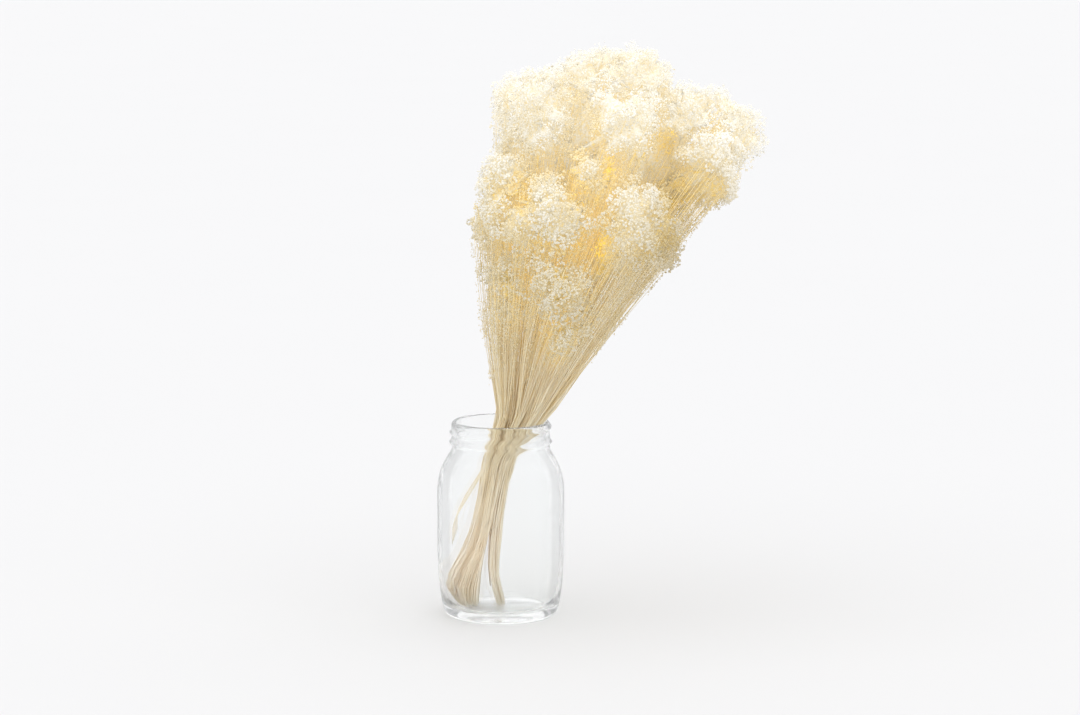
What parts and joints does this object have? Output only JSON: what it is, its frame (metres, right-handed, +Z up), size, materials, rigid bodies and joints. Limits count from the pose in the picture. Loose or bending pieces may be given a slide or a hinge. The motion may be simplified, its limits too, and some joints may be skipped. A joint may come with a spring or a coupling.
{
  "type": "preserved broom bloom bunch in a glass jar",
  "caption": "Bunch of preserved broom bloom: fine straw stems squeezed in a clear preserving jar's neck, fanning out to the right into a billowing mass of cream florets.",
  "frame": {"origin": "centre of the jar's flat underside, where it stands", "axes": "+Z up, +X to the right as the picture shows it, the way the bunch leans, +Y away from the viewer"},
  "size_m": [0.2149, 0.1634, 0.3768],
  "materials": {
    "glass": "clear, smooth",
    "stems": "dry, matt straw",
    "florets": "soft, matt cream"
  },
  "bodies": {
    "root": {"jar": "glass", "spray_01_stems": "stems", "spray_01_bloom": "florets", "spray_02_stems": "stems", "spray_02_bloom": "florets", "spray_03_stems": "stems", "spray_03_bloom": "florets", "spray_04_stems": "stems", "spray_04_bloom": "florets", "spray_05_stems": "stems", "spray_05_bloom": "florets", "spray_06_stems": "stems", "spray_06_bloom": "florets", "spray_07_stems": "stems", "spray_07_bloom": "florets", "spray_08_stems": "stems", "spray_08_bloom": "florets", "spray_09_stems": "stems", "spray_09_bloom": "florets", "spray_10_stems": "stems", "spray_10_bloom": "florets", "spray_11_stems": "stems", "spray_11_bloom": "florets", "spray_12_stems": "stems", "spray_12_bloom": "florets", "spray_13_stems": "stems", "spray_13_bloom": "florets", "spray_14_stems": "stems", "spray_14_bloom": "florets", "spray_15_stems": "stems", "spray_15_bloom": "florets", "spray_16_stems": "stems", "spray_16_bloom": "florets", "spray_17_stems": "stems", "spray_17_bloom": "florets", "spray_18_stems": "stems", "spray_18_bloom": "florets", "spray_19_stems": "stems", "spray_19_bloom": "florets", "spray_20_stems": "stems", "spray_20_bloom": "florets", "spray_21_stems": "stems", "spray_21_bloom": "florets", "spray_22_stems": "stems", "spray_22_bloom": "florets", "spray_23_stems": "stems", "spray_23_bloom": "florets", "spray_24_stems": "stems", "spray_24_bloom": "florets"}
  },
  "joints": []
}
